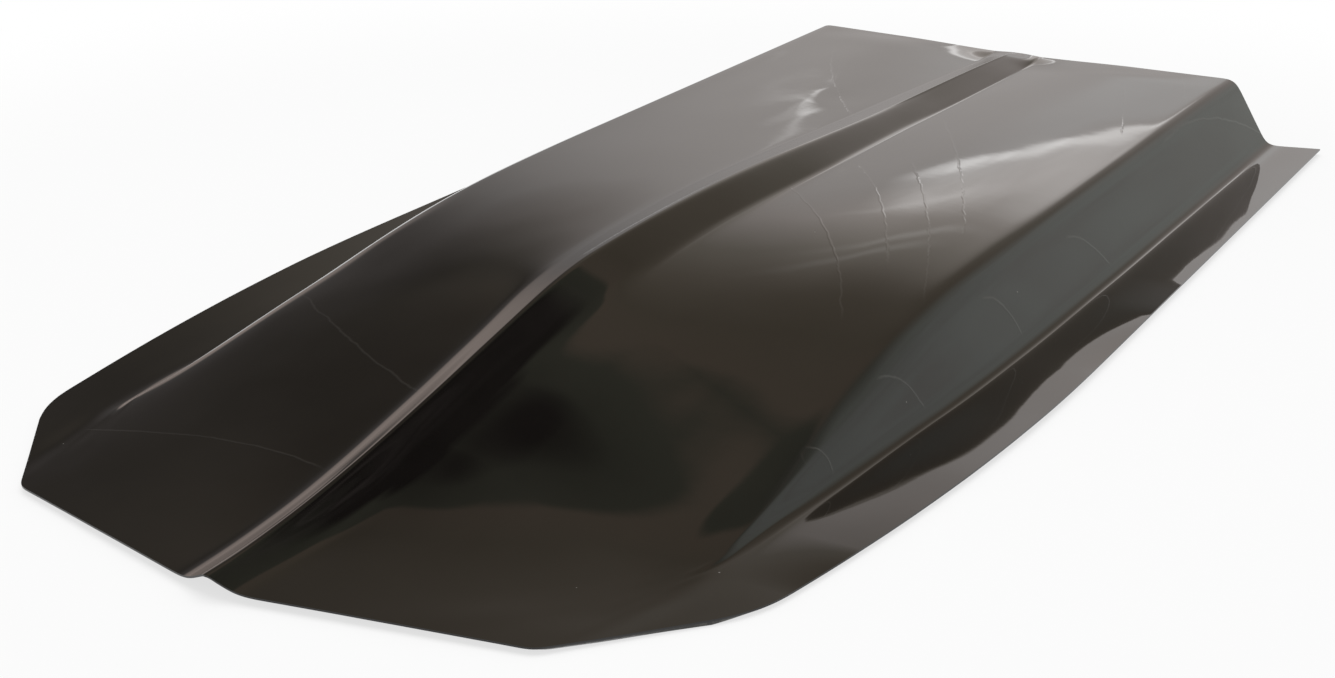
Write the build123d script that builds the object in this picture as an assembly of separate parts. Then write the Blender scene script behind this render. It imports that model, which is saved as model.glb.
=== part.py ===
from build123d import *
import os

# A bonnet scoop laid up as one thin skin: a flat flange at the nose and sides, a ramped front,
# a long low dome with a rib along its middle, and an open rear end with an upturned lip.
# The origin is the middle of the flange's footprint, X runs across, Y towards the open rear, Z up.
# All sizes are in millimetres, and stations and setbacks are measured back from the nose.

# overall length and skin
length = 1000.0
skin = 3.0

# flange outline, as half widths from the middle and setbacks from the nose
corner_half_width = 163.0
corner_setback = 36.0
corner_radius = 14.0
chamfer_half_width = 233.0
chamfer_setback = 119.0
chamfer_radius = 80.0
side_half_width = 265.5
side_start = 455.0
rear_taper = 7.0

# stations along the dome: it starts at the toe and runs straight behind the last one
toe_station = 125.0
ramp_station = 240.0
shoulder_station = 330.0
crest_station = 430.0
peak_station = 470.0
straight_station = 640.0

# height of the rib's ridge above the flange
ridge_nose = 10.0
ridge_toe = 24.5
ridge_ramp = 50.0
ridge_shoulder = 67.5
ridge_peak = 72.0
ridge_straight = 65.5
ridge_rear = 46.0

# how far the rib stands above the panels beside it, and its half width at its foot
rib_height_nose = 8.5
rib_height_toe = 11.0
rib_height_mid = 10.0
rib_height_rear = 4.5
rib_half_width_nose = 16.0
rib_half_width_mid = 28.0
rib_half_width_straight = 27.0
rib_half_width_rear = 14.0
rib_round = 2.5
rib_foot_round_nose = 10.0
rib_foot_round_rear = 3.0

# the crests, where the top turns down into the side walls
crest_half_width_toe = 192.0
crest_half_width_mid = 187.0
crest_half_width_straight = 186.0
crest_half_width_rear = 185.0
crest_height_ramp = 16.5
crest_height_mid = 43.5
crest_height_straight = 47.5
crest_height_rear = 48.0
crest_round_ramp = 18.0
crest_round_rear = 9.0

# the panels between rib and crest
panel_crown = 4.0
panel_round = 80.0

# how far the side walls spread from the crest to their foot
wall_spread_toe = 3.0
wall_spread_mid = 24.0
wall_spread_straight = 29.0
wall_spread_rear = 31.0
wall_foot_round = 9.0

# upturned lip along the rear edge
lip_length = 32.0

# spacing of the sections that the curved front is lofted through
section_spacing = 65.0

# extra skin that the outline and the ground plane trim away
trim = 12.0
ground_trim = 0.5


def guide(*knots):
    """A smooth curve value(y) through (y, value) knots, level before them and straight in its last run."""
    slopes = [0.0]
    for before, after in zip(knots[:-3], knots[2:-1]):
        slopes.append((after[1] - before[1]) / (after[0] - before[0]))
    slopes += [(knots[-1][1] - knots[-2][1]) / (knots[-1][0] - knots[-2][0])] * 2

    def value(y):
        if y <= knots[0][0]:
            return knots[0][1]
        index = max(i for i, knot in enumerate(knots[:-1]) if knot[0] <= y)
        (y0, v0), (y1, v1) = knots[index], knots[index + 1]
        span = y1 - y0
        u = (y - y0) / span
        rise = u * u * (3 - 2 * u)
        lean_in = u * (1 - u) * (1 - u) * span * slopes[index]
        lean_out = u * u * (u - 1) * span * slopes[index + 1]
        return v0 + (v1 - v0) * rise + lean_in + lean_out

    return value


ridge = guide((0, ridge_nose), (toe_station, ridge_toe), (ramp_station, ridge_ramp),
              (shoulder_station, ridge_shoulder), (peak_station, ridge_peak),
              (straight_station, ridge_straight), (length, ridge_rear))
rib_height = guide((0, rib_height_nose), (toe_station, rib_height_toe), (straight_station, rib_height_mid),
                   (length, rib_height_rear))
rib_half_width = guide((0, rib_half_width_nose), (crest_station, rib_half_width_mid),
                       (straight_station, rib_half_width_straight), (length, rib_half_width_rear))
rib_foot_round = guide((0, rib_foot_round_nose), (straight_station, rib_foot_round_rear),
                       (length, rib_foot_round_rear))
crest_half_width = guide((toe_station, crest_half_width_toe), (crest_station, crest_half_width_mid),
                         (straight_station, crest_half_width_straight), (length, crest_half_width_rear))
crest_height = guide((toe_station, 0), (ramp_station, crest_height_ramp), (crest_station, crest_height_mid),
                     (straight_station, crest_height_straight), (length, crest_height_rear))
crest_round = guide((ramp_station, crest_round_ramp), (straight_station, crest_round_rear),
                    (length, crest_round_rear))
wall_spread = guide((toe_station, wall_spread_toe), (crest_station, wall_spread_mid),
                    (straight_station, wall_spread_straight), (length, wall_spread_rear))


def half_corners(y, rib_rise):
    """Corners of the upper surface at one station, from the ridge out to the flange edge."""
    top = ridge(y) + skin
    rib_foot = Vector(rib_half_width(y), top - rib_rise)
    crest = Vector(crest_half_width(y), crest_height(y) + skin)
    crown = panel_crown * crest_height(y) / crest_height_mid * rib_rise / rib_height(y)
    panel = (rib_foot + crest) / 2 + Vector(0, crown)
    wall_foot = Vector(crest.X + wall_spread(y), skin)
    edge = Vector(side_half_width + trim, skin)
    return [Vector(0, top), rib_foot, panel, crest, wall_foot, edge]


def whole_width(half):
    """A half profile that starts on the middle line, with its mirror image before it."""
    return [Vector(-c.X, c.Y) for c in reversed(half[1:])] + half


def lowered(corners):
    """The same profile one skin lower, measured square to the surface, with its flange below the ground."""
    lower = [corners[0]]
    for before, here, after in zip(corners[:-2], corners[1:-1], corners[2:]):
        a = (here - before).normalized()
        b = (after - here).normalized()
        normal = Vector(-a.Y - b.Y, a.X + b.X)
        lower.append(here - normal * (skin / (1 + a.dot(b))))
    lower.append(corners[-1])
    for index in (0, 1, -2, -1):
        lower[index] = Vector(lower[index].X, -ground_trim)
    return lower


def profile(corners, half_rounds):
    """Straight runs joined by soft corners, as a chain of edges. A round of 0 leaves a corner sharp."""
    chain = []
    start = corners[0]
    rounds = half_rounds[:0:-1] + half_rounds
    for before, here, after, size in zip(corners[:-2], corners[1:-1], corners[2:], rounds):
        leave = here + (before - here).normalized() * min(size, 0.45 * (here - before).length)
        join = here + (after - here).normalized() * min(size, 0.45 * (after - here).length)
        chain.append(Line(start, leave))
        if size:
            chain.append(Bezier(leave, here, join))
        start = join
    return chain + [Line(start, corners[-1])]


def section(y, rib_rise):
    """The skin cut across at one station."""
    outer = whole_width(half_corners(y, rib_rise))
    inner = lowered(outer)
    edges = profile(outer, [rib_round, rib_foot_round(y), panel_round, crest_round(y), wall_foot_round])
    edges += profile(inner, [rib_round, 0, panel_round, crest_round(y), 0])
    edges += [Line(outer[0], inner[0]), Line(outer[-1], inner[-1])]
    plane = Plane(origin=(0, y, 0), x_dir=(1, 0, 0), z_dir=(0, -1, 0))
    return plane * make_face(edges)


def skin_body():
    """The lofted skin, longer and wider than the flange outline: curved front, straight run and lip."""
    lip_start = length - lip_length
    count = round((straight_station + trim) / section_spacing)
    step = (straight_station + trim) / count
    stations = [step * k - trim for k in range(count + 1)]
    front = loft([section(y, rib_height(y)) for y in stations])
    run = [section(y, rib_height(y)) for y in (straight_station, lip_start)]
    lip = [run[-1], section(length, 0)]
    return front + loft(run, ruled=True) + loft(lip, ruled=True)


def rounded(face, setback, radius):
    """A plan face with its pair of corners at one setback rounded off."""
    corners = face.vertices().filter_by(lambda v: abs(v.Y - setback) < 0.01)
    return fillet(corners, radius)


def outline():
    """The flange outline in plan: a shallow V nose, chamfers that sweep into the sides, a straight rear."""
    nose = Vector(0, 0)
    corner = Vector(corner_half_width, corner_setback)
    chamfer = Vector(chamfer_half_width, chamfer_setback)
    side = Vector(side_half_width, side_start)
    rear = Vector(side_half_width - rear_taper, length)
    sweep = TangentArc(side, chamfer, tangent=Vector(0, -1))
    half = [Line(nose, corner), Line(corner, chamfer), sweep, Line(side, rear)]
    edges = half + [edge.mirror(Plane.YZ) for edge in half]
    face = make_face(edges + [Line(rear, Vector(-rear.X, rear.Y))])
    return rounded(rounded(face, corner_setback, corner_radius), chamfer_setback, chamfer_radius)


tall = ridge_peak + skin + trim
scoop = skin_body() & extrude(outline(), amount=tall)
scoop = Pos(0, -length / 2, 0) * scoop

os.makedirs("parts", exist_ok=True)
export_step(scoop, "parts/bonnet_scoop.step")
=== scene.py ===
# %% [markdown]
# # A bonnet scoop in black gelcoat
# The object is one thin moulding: glass mat and resin laid by hand into a polished mould, with a glossy
# black skin called gelcoat on the outside. The solid model gives its size and its form. This lesson lays a
# smooth, evenly meshed skin over that solid, so that the long reflections on it stay unbroken, and then
# gives the two faces of the moulding their own finish.

# %% Load the solid
import math

import bmesh
import bpy
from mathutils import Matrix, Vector
from mathutils.bvhtree import BVHTree


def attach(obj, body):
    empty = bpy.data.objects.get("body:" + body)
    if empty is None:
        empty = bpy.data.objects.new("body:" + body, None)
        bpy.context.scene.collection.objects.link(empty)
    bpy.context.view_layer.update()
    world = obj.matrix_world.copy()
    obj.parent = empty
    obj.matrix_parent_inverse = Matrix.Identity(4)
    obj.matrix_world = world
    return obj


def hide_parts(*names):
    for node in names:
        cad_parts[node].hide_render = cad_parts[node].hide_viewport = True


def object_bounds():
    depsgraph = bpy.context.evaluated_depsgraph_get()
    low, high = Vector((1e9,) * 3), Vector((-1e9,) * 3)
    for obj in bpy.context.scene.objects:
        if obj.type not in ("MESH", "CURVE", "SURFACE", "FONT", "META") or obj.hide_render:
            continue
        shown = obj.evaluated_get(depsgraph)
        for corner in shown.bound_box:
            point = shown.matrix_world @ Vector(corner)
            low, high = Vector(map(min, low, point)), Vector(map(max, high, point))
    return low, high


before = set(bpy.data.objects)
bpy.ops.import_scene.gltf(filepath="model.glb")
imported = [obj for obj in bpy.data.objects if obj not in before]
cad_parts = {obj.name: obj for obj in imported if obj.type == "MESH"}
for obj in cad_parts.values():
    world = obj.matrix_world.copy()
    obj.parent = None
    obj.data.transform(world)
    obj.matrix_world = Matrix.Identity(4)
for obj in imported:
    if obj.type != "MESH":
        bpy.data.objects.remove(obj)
cad_low, cad_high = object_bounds()
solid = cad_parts["bonnet_scoop"]
print("solid box", [round(v, 4) for v in (*cad_low, *cad_high)])

# %% [markdown]
# ## Camera
# The picture was taken from the right of the nose, a little above, with a lens a bit longer than normal.
# A camera in Blender looks down its own -Z, so a turn about X tips it up from the floor and a turn about Z
# swings it round. The three angles and the place were found from the symmetry of the part: its left and
# right halves have to mirror each other.

# %% Place the camera
eye = Vector((0.6405, -1.1407, 0.4860))
swing = math.radians(31.015)
dip = math.radians(21.887)
picture_width = 1335
focal_pixels = 2100
film_width = 36.0

camera_data = bpy.data.cameras.new("camera")
camera_data.sensor_width = film_width
camera_data.lens = focal_pixels / picture_width * film_width
camera = bpy.data.objects.new("camera", camera_data)
camera.location = eye
camera.rotation_euler = (math.pi / 2 - dip, 0, swing)
bpy.context.scene.collection.objects.link(camera)
bpy.context.scene.camera = camera
print("lens", round(camera_data.lens, 2), "mm")

# %% [markdown]
# ## A copy of the solid to drape over
# The solid arrives as loose triangles. A copy with its doubles merged is a good surface to measure against,
# much as a finished plug is what a moulder lays the mat on. It never shows, and is removed at the end.

# %% Make the plug
def deselect_all():
    """Nothing selected and no active object, so that the next operator acts on one piece only."""
    for thing in bpy.context.selected_objects:
        thing.select_set(False)
    bpy.context.view_layer.objects.active = None


def pick(thing):
    """Select one object alone and make it active."""
    deselect_all()
    thing.select_set(True)
    bpy.context.view_layer.objects.active = thing


plug = solid.copy()
plug.data = solid.data.copy()
plug.parent = None
bpy.context.scene.collection.objects.link(plug)
pick(plug)
bpy.ops.object.mode_set(mode="EDIT")
bpy.ops.mesh.select_all(action="SELECT")
bpy.ops.mesh.remove_doubles(threshold=1e-6)
bpy.ops.object.mode_set(mode="OBJECT")
plug_tree = BVHTree.FromObject(plug, bpy.context.evaluated_depsgraph_get())
print("plug", len(plug.data.vertices), "vertices")

# %% [markdown]
# ## Feeling for the surface
# Two kinds of ray are enough to read the plug: one falls from above and gives the height of the skin, and
# one comes in from the side, level with the flange, and gives the half width there. Both keep a little
# inside the edge, where a ray could slip past.

# %% Measure the plug
nose = cad_low.y
tail = cad_high.y
skin = 0.003
edge_inset = 0.0004
far = 1.0


def drop(x, y):
    """Height of the outer skin under a point, or the flange where the ray just misses the edge."""
    x = math.copysign(max(abs(x) - edge_inset, 0.0), x)
    y = min(max(y, nose + edge_inset), tail - edge_inset)
    hit = plug_tree.ray_cast(Vector((x, y, far)), Vector((0, 0, -1)))[0]
    return hit.z if hit else skin


def flange_edge(y):
    """Half width of the flange at a place along the part."""
    y = min(max(y, nose + edge_inset), tail - edge_inset)
    return plug_tree.ray_cast(Vector((far, y, skin / 2)), Vector((-1, 0, 0)))[0].x


print("half width at the tail", round(flange_edge(tail), 4), "ridge at the tail", round(drop(0, tail), 4))

# %% [markdown]
# ## The lines that the skin follows
# Seen from the nose to the tail, four lines shape every cross section: the foot of the centre rib, the
# crest where the top turns down into the side wall, the foot of that wall, and the edge of the flange. A
# cage for a subdivision surface needs its loops on these lines, close together where the form turns fast
# and far apart where it is nearly flat. A place along the part is called a station here, and is measured
# back from the nose.

# %% Follow the rib and the side wall
toe = 0.125
brow = 0.430
level = 0.640
whole = tail - nose
rib_foot_knots = [(0, 0.016), (brow, 0.028), (level, 0.027), (0.800, 0.0248), (0.950, 0.0218), (whole, 0.020)]
rib_softness_knots = [(0, 0.010), (level, 0.003), (whole, 0.003)]
crest_knots = [(toe, 0.192), (brow, 0.187), (level, 0.186), (whole, 0.185)]
wall_spread_knots = [(toe, 0.003), (brow, 0.024), (level, 0.029), (whole, 0.031)]


def along(place, *knots):
    """A value at a place, read from (place, value) knots joined by straight lines."""
    for (start, low), (end, high) in zip(knots, knots[1:]):
        if place <= end:
            share = max(place - start, 0.0) / (end - start)
            return low + (high - low) * share
    return knots[-1][1]


def rib_foot(station):
    """Distance from the middle of the rib's foot, which stays wide up to the tail."""
    return along(station, *rib_foot_knots)


def wall_lines(station):
    """Distances from the middle of the crest and of the foot of the side wall."""
    crest = along(station, *crest_knots)
    return crest, crest + along(station, *wall_spread_knots)


print("at the brow, rib foot", rib_foot(brow), "and crest and wall foot", wall_lines(brow))

# %% Lay out the loops across the part
ridge_steps = (0.0012, 0.0032)
panel_steps = 6
crest_steps = (0.020, 0.010, 0.004)
wall_shares = (0.05, 0.2, 0.5, 0.8, 0.96)
flange_steps = (0.004, 0.010)
stations = [0.150, 0.175, 0.200, 0.225, 0.250, 0.275, 0.300, 0.325, 0.350, 0.380, 0.410, 0.440, 0.475,
            0.515, 0.560, 0.610, 0.665, 0.725, 0.790, 0.855, 0.905, 0.940, 0.962, 0.980, 0.992, whole]


def rib_loops(station):
    """Distances from the middle of the loops on the rib's ridge and flank and round its foot."""
    foot = rib_foot(station)
    softness = along(station, *rib_softness_knots)
    flank = foot - softness
    ridge = [0.0, *ridge_steps, (ridge_steps[-1] + flank) / 2]
    return [*ridge, flank, foot - 0.25 * softness, foot + 0.45 * softness, foot + 1.2 * softness]


def loops(station):
    """Distances from the middle of every loop at one station, from the rib to the flange edge."""
    rib_side = rib_loops(station)
    crest, foot = wall_lines(station)
    edge = flange_edge(nose + station)
    valley = rib_side[-1]
    brink = [crest - step for step in crest_steps]
    panel = [valley + (brink[0] - valley) * step / panel_steps for step in range(1, panel_steps)]
    wall = [crest + share * (foot - crest) for share in wall_shares]
    flange = [foot + step for step in flange_steps]
    return [*rib_side, *panel, *brink, *wall, *flange, (flange[-1] + edge) / 2, edge]


half_count = len(loops(stations[0]))
print(half_count, "loops each side,", len(stations), "straight stations")

# %% [markdown]
# ## The cage
# It starts as a plain grid with one row of points for each station. Each mirrored pair of points is then
# scaled apart until it stands on its loop, the way a modeller slides an edge loop into place. Row and
# column numbers come from sorting the grid's points by their place, before anything moves.

# %% Add the grid
columns = 2 * half_count - 1
deselect_all()
bpy.ops.mesh.primitive_grid_add(
    x_subdivisions=columns - 1, y_subdivisions=len(stations) - 1, size=1, location=(0, 0, 0)
)
scoop = bpy.context.object
scoop.name = scoop.data.name = "bonnet_scoop_skin"
print("grid of", len(stations), "by", columns, "points")

# %% Slide its loops into place
def selected_only(mesh, points):
    """Select just these points of a mesh in edit mode."""
    for point in mesh.verts:
        point.select = False
    for point in points:
        point.select = True
    mesh.select_flush_mode()


def move_pair(mesh, left, right, half_width, y):
    """Slide one mirrored pair of points to a half width and a place along the part."""
    selected_only(mesh, [left, right])
    if left is not right:
        bpy.ops.transform.resize(value=(half_width / right.co.x, 1, 1), center_override=(0, 0, 0))
    bpy.ops.transform.translate(value=(0, y - right.co.y, 0))


bpy.ops.object.mode_set(mode="EDIT")
cage = bmesh.from_edit_mesh(scoop.data)
grid_points = sorted(cage.verts, key=lambda point: (round(point.co.y, 4), point.co.x))
rows = [grid_points[start:start + columns] for start in range(0, len(grid_points), columns)]
for row, station in zip(rows, stations):
    for loop, half_width in enumerate(loops(station)):
        move_pair(cage, row[half_count - 1 - loop], row[half_count - 1 + loop], half_width, nose + station)
print("last row reaches out to", round(rows[-1][-1].co.x, 4))

# %% [markdown]
# ## The nose
# In front of the first straight row the plan is a shallow V with clipped corners. That apron is pulled out
# of the front row by an extrusion, its new points are slid to the outline, and the long edges between are
# cut into even steps. The corner of the outline falls inside the row, so that it comes out softly rounded,
# and the row ends where the clipped corner runs out into the side.

# %% Extrude the front apron
front_corner = Vector((0.163, nose + 0.036))
clip_end = Vector((0.220, nose + 0.1036))
corner_ease = 0.009
clip_steps = 4


def spread_between(start, end, count):
    """Even places from just after start up to end."""
    return [start.lerp(end, step / count) for step in range(1, count + 1)]


def nose_row():
    """Plan places of the front row, from the middle to the end of the clipped corner."""
    tip = Vector((0.0, nose))
    rib_side = [tip.lerp(front_corner, x / front_corner.x) for x in rib_loops(0)]
    before = front_corner - (front_corner - tip).normalized() * corner_ease
    after = front_corner + (clip_end - front_corner).normalized() * corner_ease
    clip = [after, *spread_between(after, clip_end, clip_steps)]
    middle = spread_between(rib_side[-1], before, half_count - len(rib_side) - len(clip) - 1)
    return [*rib_side, *middle, front_corner, *clip]


selected_only(cage, rows[0])
bpy.ops.mesh.extrude_edges_move(TRANSFORM_OT_translate={"value": (0, -stations[0], 0)})
cage = bmesh.from_edit_mesh(scoop.data)
front_edge = sorted((point for point in cage.verts if point.select), key=lambda point: point.co.x)
for loop, place in enumerate(nose_row()):
    left, right = front_edge[half_count - 1 - loop], front_edge[half_count - 1 + loop]
    move_pair(cage, left, right, place.x, place.y)
print("nose row of", len(front_edge), "points")

# %% Cut the apron into even steps
apron_cuts = 5
front_points = set(front_edge)
bpy.ops.mesh.select_mode(type="EDGE")
for edge in cage.edges:
    edge.select = len(front_points & set(edge.verts)) == 1
bpy.ops.mesh.subdivide(number_cuts=apron_cuts)
bpy.ops.mesh.select_mode(type="VERT")
cage = bmesh.from_edit_mesh(scoop.data)
rim = [point for point in cage.verts if point.is_boundary and clip_end.y < point.co.y < nose + stations[0]]
for right in [point for point in rim if point.co.x > 0]:
    left = min(rim, key=lambda point: (point.co - Vector((-right.co.x, right.co.y, right.co.z))).length)
    move_pair(cage, left, right, flange_edge(right.co.y), right.co.y)
bpy.ops.object.mode_set(mode="OBJECT")
print("cage", len(scoop.data.vertices), "points", len(scoop.data.polygons), "faces")

# %% Turn every face up
pick(scoop)
bpy.ops.object.mode_set(mode="EDIT")
bpy.ops.mesh.select_all(action="SELECT")
bpy.ops.mesh.normals_make_consistent(inside=False)
bpy.ops.object.mode_set(mode="OBJECT")
if sum(face.normal.z for face in scoop.data.polygons) < 0:
    scoop.data.flip_normals()
print("faces that look down:", sum(face.normal.z < 0 for face in scoop.data.polygons))

# %% [markdown]
# ## Where the skin leaves the plug
# The skin lies on the plug almost everywhere. It leaves it by a few millimetres in three places, where the
# real moulding does something that a plain solid has no need of. A flange pulled from a mould is never
# quite flat: it dips at the foot of the wall and rises towards its edge, and that lets it mirror the dark
# wall beside it. Near the tail the rib keeps its height right up to the lip, with straight flanks. And
# close to the rib the lip turns up a little less, because the mat bridges the corner there.

# %% Small departures
dish_start = 0.16
dish_full = 0.38
dip_at_foot = -0.0018
rise_at_edge = 0.0015
lip_relax = -0.0010
lip_start = 0.962
beside_rib = [(0.006, 0.0), (0.020, 1.0), (0.035, 1.0), (0.090, 0.0)]
rib_lift = 0.0036
lift_starts = [(0.70, 0.0), (0.95, 1.0)]
lift_ends = [(0.970, 1.0), (whole, 0.0)]
straight_flanks = [(0.68, 0.0), (0.80, 1.0)]


def ease(share):
    """The same share from 0 to 1, with a soft start and end."""
    return share * share * (3 - 2 * share)


def dish(x, y):
    """How far the flange leaves the flat at a place: nothing on the dome and near the nose."""
    station = y - nose
    if station < dish_start:
        return 0.0
    crest, foot = wall_lines(station)
    across = along(abs(x), (crest, 0.0), (foot, dip_at_foot), (flange_edge(y), rise_at_edge))
    return across * along(station, (dish_start, 0.0), (dish_full, 1.0))


def relax(x, y):
    """How far the lip falls short of its full turn close to the rib."""
    return lip_relax * along(abs(x), *beside_rib) * along(y - nose, (lip_start, 0.0), (whole, 1.0))


def full_rib(x, y):
    """How far the rib stands off the plug near the tail: a straight flank from a raised ridge to its foot."""
    station = y - nose
    foot = rib_foot(station)
    share = ease(along(station, *straight_flanks))
    if share == 0.0 or abs(x) >= foot:
        return 0.0
    lift = rib_lift * ease(along(station, *lift_starts)) * ease(along(station, *lift_ends))
    top = drop(0.0, y) + lift
    flank = top + (drop(foot, y) - top) * abs(x) / foot
    return share * (flank - drop(x, y))


def lay(x, y):
    """Height at which the skin lies over a point of the plan."""
    return drop(x, y) + dish(x, y) + relax(x, y) + full_rib(x, y)


print("ridge before the lip, mm above the plug:", round(full_rib(0.0, nose + lip_start) * 1000, 2))

# %% [markdown]
# ## Drape the cage
# Every point of the cage falls straight down onto its place. A subdivision surface then runs smoothly
# between them, but it cuts inside each corner of its cage, so the rib would come out too low and the
# crests too round. The gap that is left under each point is measured and given back to the cage, a few
# times over, until the smooth skin lies where it should.

# %% Drop, smooth and close the gaps
fit_rounds = 5
for point in scoop.data.vertices:
    point.co.z = lay(point.co.x, point.co.y)

smoothing = scoop.modifiers.new("smoothing", "SUBSURF")
smoothing.levels = smoothing.render_levels = 2
smoothing.boundary_smooth = "PRESERVE_CORNERS"


def close_gaps():
    """Raise or lower each cage point by the gap left between it and the smooth skin; give the widest gap."""
    bpy.context.view_layer.update()
    smooth = scoop.evaluated_get(bpy.context.evaluated_depsgraph_get()).data
    widest = 0.0
    for point, seen in zip(scoop.data.vertices, smooth.vertices):
        gap = lay(seen.co.x, seen.co.y) - seen.co.z
        point.co.z += gap
        widest = max(widest, abs(gap))
    scoop.data.update()
    return widest


gaps = [close_gaps() for fit_round in range(fit_rounds)]
print("widest gap by round, mm", [round(gap * 1000, 2) for gap in gaps])
pick(scoop)
bpy.ops.object.modifier_apply(modifier="smoothing")
print("skin", len(scoop.data.polygons), "faces, lowest", round(min(p.co.z for p in scoop.data.vertices), 5))

# %% [markdown]
# ## Thickness
# The laminate is the same thickness all over. Solidify grows it inwards from the polished face, so the
# underside of the flange lands on the floor, and it closes the cut edge all round. The edges of the flange
# and of the nose are sanded thin so that they will blend into a bonnet, so the points there take only part
# of the thickness. Solidify can give its inner face another material slot, but only if that slot is already
# there, so both slots come first.

# %% Find the sanded edge
low_edge = 3 * skin
sanded_nose = nose + 0.05


def border_points(mesh):
    """Numbers of the points on the open border: the ends of edges that only one face uses."""
    uses = {}
    for face in mesh.polygons:
        for key in face.edge_keys:
            uses[key] = uses.get(key, 0) + 1
    return {end for key, count in uses.items() if count == 1 for end in key}


def is_sanded(place):
    """Whether a point of the border lies on the thin edge of the flange or of the nose."""
    return place.z < low_edge or place.y < sanded_nose


border = border_points(scoop.data)
sanded = {point for point in border if is_sanded(scoop.data.vertices[point].co)}
print(len(sanded), "of", len(border), "border points are sanded thin")

# %% Give the skin its wall
sanded_share = 0.35
crease_angle = math.radians(50)
full = scoop.vertex_groups.new(name="full")
full.add([point.index for point in scoop.data.vertices if point.index not in sanded], 1.0, "REPLACE")
bpy.ops.object.material_slot_add()
bpy.ops.object.material_slot_add()
wall = scoop.modifiers.new("wall", "SOLIDIFY")
wall.vertex_group = "full"
wall.thickness_vertex_group = sanded_share
wall.thickness = skin
wall.offset = -1
wall.use_even_offset = True
wall.material_offset = 1
bpy.ops.object.modifier_apply(modifier="wall")
scoop.vertex_groups.clear()
for point in scoop.data.vertices:
    point.co.z = max(point.co.z, 0.0)
bpy.ops.object.shade_smooth_by_angle(angle=crease_angle)
print("wall", len(scoop.data.polygons), "faces")

# %% [markdown]
# ## Writing shaders as sums
# A finish is a chain of small sums on sockets. One class wraps a socket so that those sums can be written
# as Python, and one method makes any other node: first its settings, then the values or links it takes.
# A few short methods name the chains that come up again and again.

# %% Sums on sockets
class Wire:
    """One output socket of a node tree, with the sums that the finishes need."""

    def __init__(self, paint, socket):
        self.paint = paint
        self.socket = socket

    def sum(self, operation, *terms):
        values = dict(enumerate(terms))
        return self.paint.node("Math", {"operation": operation}, values)

    def __add__(self, other):
        return self.sum("ADD", self, other)

    def __sub__(self, other):
        return self.sum("SUBTRACT", self, other)

    def __mul__(self, other):
        return self.sum("MULTIPLY", self, other)

    def __truediv__(self, other):
        return self.sum("DIVIDE", self, other)

    def __rsub__(self, other):
        return self.sum("SUBTRACT", other, self)

    def __rtruediv__(self, other):
        return self.sum("DIVIDE", other, self)

    __radd__ = __add__
    __rmul__ = __mul__

    def size(self):
        return self.sum("ABSOLUTE", self)

    def or_more(self, other):
        return self.sum("MAXIMUM", self, other)


print("sums ready:", [name for name in vars(Wire) if name.startswith("__r")])

# %% Nodes and chains of nodes
class Paint:
    """A node tree and the one way that nodes are added to it."""

    def __init__(self, tree):
        self.tree = tree
        tree.nodes.clear()

    def node(self, kind, settings=None, values=None, output=0):
        made = self.tree.nodes.new("ShaderNode" + kind)
        for name, value in (settings or {}).items():
            if name == "stops":
                set_stops(made.color_ramp, value)
            else:
                setattr(made, name, value)
        for name, value in (values or {}).items():
            if isinstance(value, Wire):
                self.tree.links.new(value.socket, made.inputs[name])
            else:
                made.inputs[name].default_value = value
        return Wire(self, made.outputs[output]) if made.outputs else made

    def axes(self, vector):
        """The three parts of a vector."""
        return [self.node("SeparateXYZ", None, {"Vector": vector}, output=axis) for axis in range(3)]

    def noise(self, place, scale, detail):
        """Soft random clouds, from 0 to 1."""
        return self.node("TexNoise", None, {"Vector": place, "Scale": scale, "Detail": detail})

    def smooth(self, value, low, high):
        """0 at low, 1 at high, with an eased run between. Low may also be the larger of the two."""
        values = {0: value, 1: low, 2: high}
        return self.node("MapRange", {"interpolation_type": "SMOOTHSTEP"}, values)

    def span(self, value, start, full_from, full_to, end):
        """1 inside a span, with an eased run down to 0 on either side of it."""
        return self.smooth(value, start, full_from) * self.smooth(value, end, full_to)

    def distance(self, place, centre):
        """How far a place lies from a fixed centre on a plane."""
        values = {0: place, 1: (*centre, 0.0)}
        return self.node("VectorMath", {"operation": "DISTANCE"}, values, output=1)

    def blend(self, share, first, second):
        """A colour between two others, by a share from 0 to 1."""
        return self.node("Mix", {"data_type": "RGBA"}, {0: share, 6: first, 7: second}, output=2)

    def glow(self, share, first, added):
        """A colour with a share of another one added to it."""
        adding = {"data_type": "RGBA", "blend_type": "ADD"}
        return self.node("Mix", adding, {0: share, 6: first, 7: added}, output=2)

    def coat(self, tint, rough, height):
        """The output of a finish, from its colour, its roughness and its height in metres."""
        bump = self.node("Bump", None, {"Height": height, "Strength": 1.0, "Distance": 1.0})
        values = {"Base Color": tint, "Roughness": rough, "Normal": bump}
        self.node("OutputMaterial", None, {"Surface": self.node("BsdfPrincipled", None, values)})


def set_stops(ramp, stops):
    """Give a colour ramp its stops, as (place, colour) pairs."""
    while len(ramp.elements) < len(stops):
        ramp.elements.new(1.0)
    for element, (place, colour) in zip(ramp.elements, stops):
        element.position = place
        element.color = (*colour, 1.0)


def grey(level_of_light):
    """A neutral colour."""
    return (level_of_light, level_of_light, level_of_light, 1.0)


def new_finish(name):
    """A material with an empty tree, and the paint that fills it."""
    material = bpy.data.materials.new(name)
    material.use_nodes = True
    return material, Paint(material.node_tree)


print("chains ready:", [name for name in vars(Paint) if not name.startswith("_")])

# %% [markdown]
# ## Lines that print through
# Resin shrinks as it sets, and here and there the edge of a piece of glass mat prints through the gelcoat
# as a hair-thin raised line. Each line is written as an arc through three places, on the plan for the top
# and seen from the side for the wall. A circle through the three gives its centre and radius, so the line
# is just a narrow band of distances from that centre.

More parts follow.
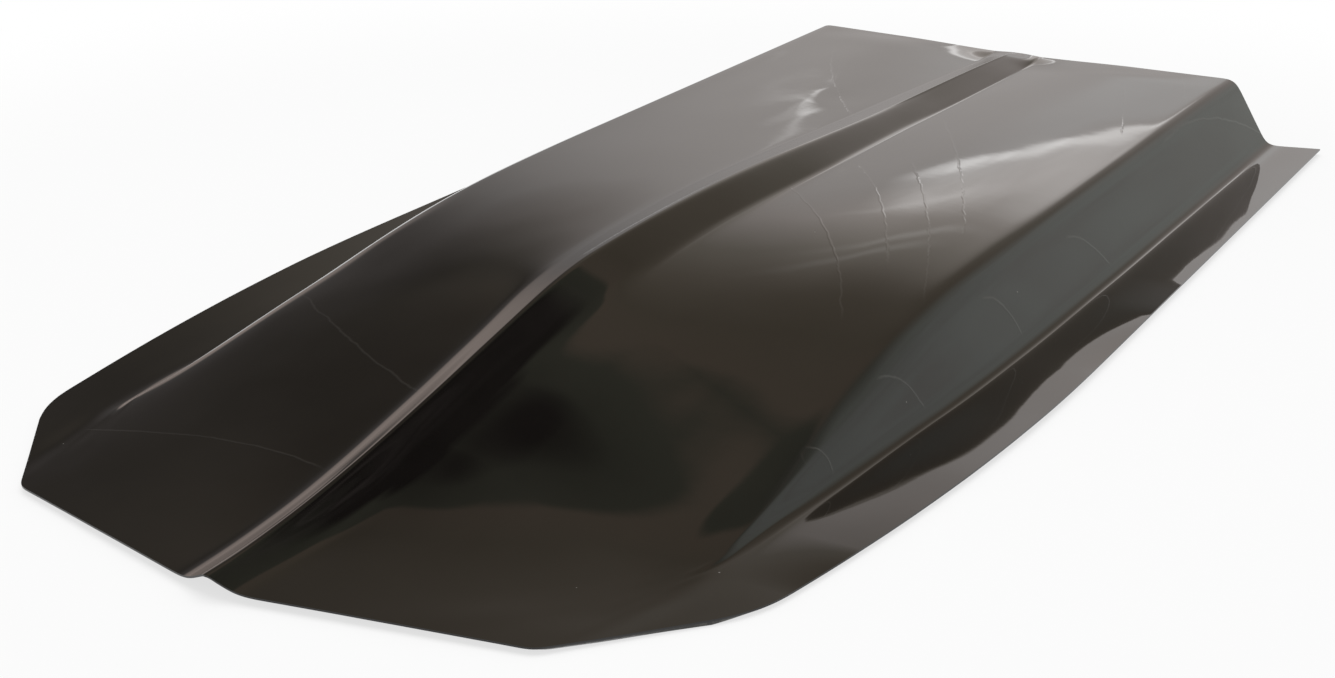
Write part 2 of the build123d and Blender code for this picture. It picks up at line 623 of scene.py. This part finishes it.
# %% Find the arcs
top_lines = [
    ((-0.182, -0.392), (-0.117, -0.377), (-0.019, -0.385)),
    ((-0.180, -0.215), (-0.097, -0.268), (-0.014, -0.310)),
    ((0.024, 0.039), (0.096, -0.040), (0.138, -0.108)),
    ((0.038, 0.116), (0.096, 0.033), (0.132, -0.034)),
    ((0.061, 0.148), (0.127, 0.036), (0.160, -0.036)),
    ((0.037, 0.261), (0.099, 0.149), (0.159, 0.020)),
    ((0.118, 0.430), (0.141, 0.364), (0.158, 0.313)),
    ((0.144, 0.494), (0.158, 0.455), (0.170, 0.418)),
    ((-0.139, 0.433), (-0.082, 0.318), (-0.025, 0.235)),
]
wall_arcs = [
    ((-0.165, 0.031), (-0.139, 0.019), (-0.135, 0.004)),
    ((-0.031, 0.038), (-0.007, 0.023), (-0.002, 0.006)),
    ((0.103, 0.037), (0.137, 0.021), (0.148, 0.005)),
    ((-0.255, 0.014), (-0.236, 0.010), (-0.240, 0.004)),
    ((0.306, 0.044), (0.430, 0.037), (0.490, 0.015)),
]


def circle_through(a, b, c):
    """Centre and radius of the circle through three places."""
    (ax, ay), (bx, by), (cx, cy) = a, b, c
    turn = 2 * (ax * (by - cy) + bx * (cy - ay) + cx * (ay - by))
    squares = [x * x + y * y for x, y in (a, b, c)]
    x = (squares[0] * (by - cy) + squares[1] * (cy - ay) + squares[2] * (ay - by)) / turn
    y = (squares[0] * (cx - bx) + squares[1] * (ax - cx) + squares[2] * (bx - ax)) / turn
    return (x, y), math.dist((x, y), a)


print("radii of the lines on the top, m:", [round(circle_through(*arc)[1], 2) for arc in top_lines])

# %% Draw them as nodes
line_half_width = 0.0011
line_wobble = 0.003
wall_line_strength = 2.0


def ridge_lines(paint, place, arcs):
    """1 on the crown of any of these arcs, easing to 0 beside them and at their ends."""
    total = None
    for arc in arcs:
        centre, radius = circle_through(*arc)
        reach = max(math.dist(arc[1], arc[0]), math.dist(arc[1], arc[2]))
        off = (paint.distance(place, centre) - radius).size()
        ends = paint.smooth(paint.distance(place, arc[1]), reach, 0.8 * reach)
        ridge = paint.smooth(off, line_half_width, 0.0) * ends
        total = ridge if total is None else total.or_more(ridge)
    return total


def printed_lines(paint, x, y, z, fine):
    """All the lines together, each kept to its own face and a little unsteady, as torn mat is."""
    wobble = (fine - 0.5) * line_wobble
    plan = paint.node("CombineXYZ", None, {0: x + wobble, 1: y + wobble})
    side = paint.node("CombineXYZ", None, {0: y + wobble, 1: z + wobble})
    on_top = paint.smooth(x.size(), 0.188, 0.182)
    on_wall = paint.smooth(x, 0.184, 0.190) * paint.smooth(z, 0.006, 0.010)
    top_part = ridge_lines(paint, plan, top_lines) * on_top
    return top_part + ridge_lines(paint, side, wall_arcs) * on_wall * wall_line_strength


print(len(top_lines), "lines on the top,", len(wall_arcs), "on the wall")

# %% [markdown]
# ## Slow waves
# A skin this thin never comes out of its mould quite true, and a mirror gloss shows it. The right flange
# bellies up towards its edge, by a slope that changes along the part and so bends the edge of the dark
# band in it. Two low swells lie on the right of the ramp, one slanting across it and one along the foot of
# the rib, and a shallow dent lies on the left panel. They move the reflections and leave the form alone,
# so they are heights for a Bump node.

# %% Waves in the surface
flange_near = 0.195
flange_swing = 0.0205
belly_tilt = 0.09
belly_changes = [(-0.20, -0.10, -0.025), (-0.03, 0.10, 0.095), (0.075, 0.15, -0.06)]
swell_slant = 0.35
swell_height = 0.001
toe_height = 0.0012
dent_place = (-0.058, 0.277)
dent_radius = 0.030
dent_depth = 0.00015


def flange_belly(paint, x, y, broad):
    """How far the right flange bellies up: more and more from the foot of the wall outwards."""
    out = x - flange_near - flange_swing * paint.smooth(y, -0.42, 0.10)
    outwards = out.sum("SMOOTH_MAX", out - 0.006, 0.0, 0.012) * paint.smooth(y, -0.36, -0.30)
    tilt = belly_tilt
    for start, end, change in belly_changes:
        tilt = tilt + change * paint.smooth(y, start, end)
    return outwards * tilt * (0.9 + broad * 0.2)


def ramp_swells(paint, x, y):
    """Two low swells on the right of the ramp."""
    slant = y + swell_slant * x
    across = paint.span(slant, -0.325, -0.255, -0.255, -0.185) * paint.span(x, 0.02, 0.06, 0.17, 0.19)
    beside = paint.span(x, 0.0, 0.028, 0.030, 0.070) * paint.span(y, -0.40, -0.34, -0.28, -0.20)
    return across * swell_height + beside * toe_height


def panel_dent(paint, x, y):
    """One shallow round dent on the left panel."""
    plan = paint.node("CombineXYZ", None, {0: x, 1: y})
    return paint.smooth(paint.distance(plan, dent_place), dent_radius, 0.0) * dent_depth


print("flange slope by the tail", round(belly_tilt + sum(change for *_, change in belly_changes), 3))

# %% [markdown]
# ## Gelcoat
# The outer face is polished resin with a black-brown pigment. Under a hard gloss it is nearly black, and
# almost all that shows is reflection. The printed lines and the slow waves are added up with two soft
# noises, one stretched along the part, as the mould was rubbed down lengthwise. A few specks of pale dust
# lie on it, and the polish is a little cloudy. The printed lines are also painted a little lighter, towards
# the pale dust colour: a painted highlight along each line.

# %% Make the gelcoat
dark_pigment = (0.006, 0.005, 0.0045, 1.0)
light_pigment = (0.008, 0.0067, 0.006, 1.0)
dust_and_line_highlight_colour = (0.45, 0.43, 0.40, 1.0)
speck_scale = 60.0
line_height = 0.000035
rubbed_lengthwise = (1.0, 0.3, 1.0)


def dust_specks(paint, place):
    """1 on a few tiny specks, which are the middles of some cells of a Voronoi texture."""
    cells = {"Vector": place, "Scale": speck_scale}
    from_middle = paint.node("TexVoronoi", None, cells)
    cell_colour = paint.node("TexVoronoi", None, cells, output=1)
    chance = paint.node("SeparateColor", None, {"Color": cell_colour})
    return paint.smooth(from_middle, 0.04, 0.02) * paint.smooth(chance, 0.90, 0.91)


def gelcoat_finish():
    material, paint = new_finish("polished_gelcoat")
    place = paint.node("TexCoord", output=3)
    x, y, z = paint.axes(place)
    broad = paint.noise(place, 7.0, 1.0)
    sag = paint.noise(paint.node("Mapping", None, {"Vector": place, "Scale": rubbed_lengthwise}), 24.0, 1.0)
    fine = paint.noise(place, 70.0, 2.0)
    cloud = paint.noise(place, 14.0, 4.0)
    lines = printed_lines(paint, x, y, z, fine)
    waves = flange_belly(paint, x, y, broad) + ramp_swells(paint, x, y) - panel_dent(paint, x, y)
    height = broad * 0.0005 + sag * 0.0002 + fine * 0.00001 + waves + lines * line_height
    dust = dust_specks(paint, place)
    pigment = paint.blend(paint.smooth(cloud, 0.3, 0.7), dark_pigment, light_pigment)
    # The specks are real dust. The printed lines are painted a little lighter too, a painted highlight along
    # them.
    tint = paint.blend(dust * 0.3 + lines * 0.028, pigment, dust_and_line_highlight_colour)
    paint.coat(tint, 0.02 + cloud * 0.03 + dust * 0.3, height)
    return material


scoop.material_slots[0].material = gelcoat_finish()
print("gelcoat made of", len(scoop.material_slots[0].material.node_tree.nodes), "nodes")

# %% [markdown]
# ## Laminate
# Inside, nothing is polished: chopped glass strands lie every way in black resin, just as the brush left
# them. Three layers of long thin noise, turned to different angles, give the strands, and the highest one
# at each place lies on top. Where the resin has pooled, it drowns them.

# %% Make the laminate
strand_turns = (15, 75, 130)
strand_stretch = (30.0, 420.0, 90.0)
resin_colour = (0.016, 0.015, 0.014, 1.0)
strand_colour = (0.07, 0.067, 0.06, 1.0)


def strand_layer(paint, place, angle):
    """Long thin noise, turned by an angle in the plan."""
    turning = {"Vector": place, "Rotation": (0, 0, math.radians(angle))}
    turned = paint.node("Mapping", {"vector_type": "TEXTURE"}, turning)
    return paint.noise(paint.node("Mapping", None, {"Vector": turned, "Scale": strand_stretch}), 1.0, 1.0)


def laminate_finish():
    material, paint = new_finish("raw_laminate")
    place = paint.node("TexCoord", output=3)
    layers = [strand_layer(paint, place, angle) for angle in strand_turns]
    strands = layers[0].or_more(layers[1]).or_more(layers[2])
    pool = paint.noise(place, 22.0, 3.0)
    shown = paint.smooth(strands, 0.52, 0.72) * paint.smooth(pool, 0.35, 0.6)
    tint = paint.blend(shown, resin_colour, strand_colour)
    paint.coat(tint, 0.28 + shown * 0.3, strands * 0.0007 + pool * 0.0015)
    return material


scoop.material_slots[1].material = laminate_finish()
inside = sum(face.material_index for face in scoop.data.polygons)
print("finishes", [material.name for material in scoop.data.materials], "with", inside, "faces inside")

# %% [markdown]
# ## Studio
# A glossy black part shows little but its surroundings, so the room draws its form. Behind the part stands
# a low white wall that fades upwards into brown shade, to the right a mottled green-grey wall that reaches
# higher, to the left the room is dim, and the ceiling is black. Each place on these walls has a turn, the
# angle in radians to the right of straight behind the part, and a rise, which is 0 at the horizon and 1
# overhead. A colour ramp over the rise paints each wall.

# %% Walls of the room
back_wall = [(0.0, (0.60, 0.565, 0.55)), (0.12, (0.86, 0.81, 0.785)), (0.27, (1.0, 0.935, 0.895)),
             (0.35, (0.84, 0.76, 0.71)), (0.45, (0.47, 0.42, 0.35)), (0.55, (0.41, 0.35, 0.275)),
             (0.70, (0.37, 0.31, 0.225)), (0.764, (0.45, 0.36, 0.265)), (0.78, (0.20, 0.21, 0.15)),
             (0.83, (0.18, 0.19, 0.135)), (0.865, (0.0, 0.0, 0.0))]
side_wall = [(0.0, (0.78, 0.805, 0.76)), (0.5, (0.80, 0.84, 0.78)), (0.63, (0.66, 0.70, 0.62)),
             (0.73, (0.32, 0.35, 0.28)), (0.82, (0.10, 0.11, 0.08)), (0.865, (0.0, 0.0, 0.0))]
mottle_colour = (0.55, 0.47, 0.44, 1.0)
left_light = 0.20


def painted_walls(paint, direction, turn, rise):
    """The back wall, the side wall to the right of it, and the dim left of the room."""
    lean = 0.07 * paint.span(turn, -0.96, -0.80, -0.77, -0.47)
    back = paint.node("ValToRGB", {"stops": back_wall}, {"Fac": rise + lean})
    side = paint.node("ValToRGB", {"stops": side_wall}, {"Fac": rise})
    mottle = paint.smooth(paint.noise(direction, 14.0, 3.0), 0.30, 0.75)
    side = paint.blend(mottle * 0.3, side, mottle_colour)
    walls = paint.blend(paint.smooth(turn, -0.06, 0.36), back, side)
    dim_low = paint.smooth(turn, -0.84, -0.45)
    dim_high = paint.smooth(turn, -1.02, -0.50)
    dim = dim_low + (dim_high - dim_low) * paint.smooth(rise, 0.36, 0.48)
    return paint.blend(left_light + (1.0 - left_light) * dim, grey(0.0), walls)


print("stops on the back wall", len(back_wall), "and on the side wall", len(side_wall))

# %% [markdown]
# ### Light on the walls
# Some soft patches brighten the walls: warm light low on the left, a haze and a sheen round a long window
# strip, and the strip itself, with a sharp bright sill and rippled panes. Thin streaks fan out from it, and
# three more leave one small bright point as a star. Each streak fades along its length, and is written as
# its two ends, its half width and its strength.

# %% Patches, window and streaks
warm_left = (0.58, 0.465, 0.41, 1.0)
haze_colour = (0.42, 0.385, 0.36, 1.0)
sheen_colour = (0.18, 0.20, 0.21, 1.0)
window_light = 2.0
point_light = 0.6
point_turn = math.radians(-25.8)
point_climb = math.radians(14.0)
point_inner = math.cos(math.radians(0.1))
point_outer = math.cos(math.radians(0.5))
star = (-0.447, 0.242)
light_streaks = [
    ((-0.330, 0.335), (-0.450, 0.346), 0.010, 0.35),
    ((-0.300, 0.400), (-0.440, 0.482), 0.014, 0.35),
    ((-0.310, 0.440), (-0.470, 0.556), 0.016, 0.25),
    (star, (-0.520, 0.191), 0.005, 0.35),
    (star, (-0.500, 0.243), 0.005, 0.35),
    (star, (-0.485, 0.212), 0.004, 0.25),
]


def soft_patches(paint, turn, rise, room):
    """The walls with warm light low on the left, and a haze and a sheen round the window."""
    low_left = paint.smooth(rise, 0.26, 0.16) * paint.smooth(turn, -0.70, -0.95)
    room = paint.glow(low_left, room, warm_left)
    haze = paint.span(turn, -0.52, -0.36, -0.30, -0.16) * paint.span(rise, 0.26, 0.36, 0.43, 0.62)
    room = paint.glow(haze, room, haze_colour)
    sheen = paint.span(turn, -0.42, -0.30, -0.20, -0.08) * paint.span(rise, 0.16, 0.23, 0.27, 0.31)
    return paint.glow(sheen, room, sheen_colour)


def window_strip(paint, direction, turn, rise):
    """The share of light in a long window that climbs to the right."""
    ripple = paint.noise(direction, 40.0, 2.0)
    climb = rise - 0.28 * (turn + 0.32)
    pane = paint.span(climb, 0.284, 0.294, 0.34, 0.385) * (0.3 + 0.6 * ripple)
    sill = paint.span(climb, 0.284, 0.290, 0.294, 0.308) * (0.5 + ripple)
    return paint.span(turn, -0.42, -0.37, -0.27, -0.18) * (pane + sill) * 0.5


def bright_point(paint, direction):
    """The share of light in one small round lamp, by the angle between it and a direction."""
    level_part = math.cos(point_climb)
    aim = (level_part * math.sin(point_turn), level_part * math.cos(point_turn), math.sin(point_climb))
    nearness = paint.node("VectorMath", {"operation": "DOT_PRODUCT"}, {0: direction, 1: aim}, output=1)
    return paint.smooth(nearness, point_outer, point_inner)


def streak(paint, turn, rise, start, end, half_width):
    """1 along the middle of a thin line of light on the wall, fading towards its far end."""
    length = math.dist(start, end)
    run_turn = (end[0] - start[0]) / length
    run_rise = (end[1] - start[1]) / length
    ahead = (turn - start[0]) * run_turn + (rise - start[1]) * run_rise
    aside = (turn - start[0]) * run_rise - (rise - start[1]) * run_turn
    ends = paint.smooth(ahead, -half_width, 0.1 * length) * paint.smooth(ahead, length, 0.2 * length)
    return paint.smooth(aside.size(), half_width, 0.0) * ends


print(len(light_streaks), "streaks")

# %% [markdown]
# ### Who sees the room
# Only mirrored and transmitted rays see those walls. The camera sees plain white, and every other ray an
# even glow, so that the room never lights the part unevenly.

# %% Paint the room
even_glow = 0.5
world = bpy.data.worlds.new("studio")
bpy.context.scene.world = world
world.use_nodes = True


def paint_room():
    paint = Paint(world.node_tree)
    direction = paint.node("TexCoord")
    right, behind, rise = paint.axes(direction)
    turn = right.sum("ARCTAN2", right, behind)
    room = soft_patches(paint, turn, rise, painted_walls(paint, direction, turn, rise))
    room = paint.glow(window_strip(paint, direction, turn, rise), room, grey(window_light))
    room = paint.glow(bright_point(paint, direction), room, grey(point_light))
    for start, end, half_width, strength in light_streaks:
        room = paint.glow(streak(paint, turn, rise, start, end, half_width), room, grey(strength))

    camera_ray = paint.node("LightPath", output=0)
    mirrored = paint.node("LightPath", output=3) + paint.node("LightPath", output=6)
    seen = paint.blend(mirrored, grey(even_glow), room)
    colour = paint.blend(camera_ray, seen, grey(1.0))
    sky = paint.node("Background", None, {"Color": colour, "Strength": 1.0})
    paint.node("OutputWorld", None, {"Surface": sky})


paint_room()
print("room painted with", len(world.node_tree.nodes), "nodes")

# %% [markdown]
# ## Lamp and floor
# One large soft lamp overhead, together with the even glow, is bright enough that a colour comes out as it
# is written. The floor is a pale disc that keeps the soft shadow of the part. Towards its edge it turns
# into plain white light, as bright as the background, so that no edge shows. It ends close behind the part,
# because a wider one would shine on the flank of the rib, which looks out just under the horizon.

# %% Hang the lamp
lamp_side = 3.0
lamp_data = bpy.data.lights.new("softbox", "AREA")
lamp_data.shape = "RECTANGLE"
lamp_data.size = lamp_side
lamp_data.size_y = lamp_side
lamp_data.energy = 60.0
lamp = bpy.data.objects.new("softbox", lamp_data)
lamp.location = (0.0, 0.0, 3.0)
lamp.visible_glossy = False
bpy.context.scene.collection.objects.link(lamp)
print("lamp of", lamp_data.energy, "W")

# %% Lay the floor
floor_radius = 1.1
floor_drop = 0.0004
shadow_share = 0.3
deselect_all()
bpy.ops.mesh.primitive_circle_add(
    vertices=128, radius=floor_radius, fill_type="NGON", location=(0, 0, -floor_drop)
)
floor = bpy.context.object
floor.name = "floor"
bpy.ops.object.transform_apply(location=True)


def floor_finish():
    material, paint = new_finish("floor")
    seen = paint.node("LightPath", output=0) + paint.node("LightPath", output=3)
    seen = seen + paint.node("LightPath", output=6)
    away = paint.distance(paint.node("TexCoord", output=3), (0.0, 0.0))
    outside = paint.smooth(away, 0.5 * floor_radius, 0.9 * floor_radius)
    share = (1.0 - shadow_share) + shadow_share * outside
    matt = paint.node("BsdfDiffuse", None, {"Color": grey(0.9)})
    white = paint.node("Emission", None, {"Color": grey(1.0), "Strength": 1.0})
    mixed = paint.node("MixShader", None, {0: seen * share, 1: matt, 2: white})
    paint.node("OutputMaterial", None, {"Surface": mixed})
    return material


floor.data.materials.append(floor_finish())
print("floor of", len(floor.data.vertices), "points")

# %% [markdown]
# ## Hand over
# The skin takes the place of the solid and rides on its body. The plug has done its work.

# %% Finish
bpy.data.objects.remove(plug)
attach(scoop, "root")
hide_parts("bonnet_scoop")
bpy.context.scene.view_settings.view_transform = "Standard"
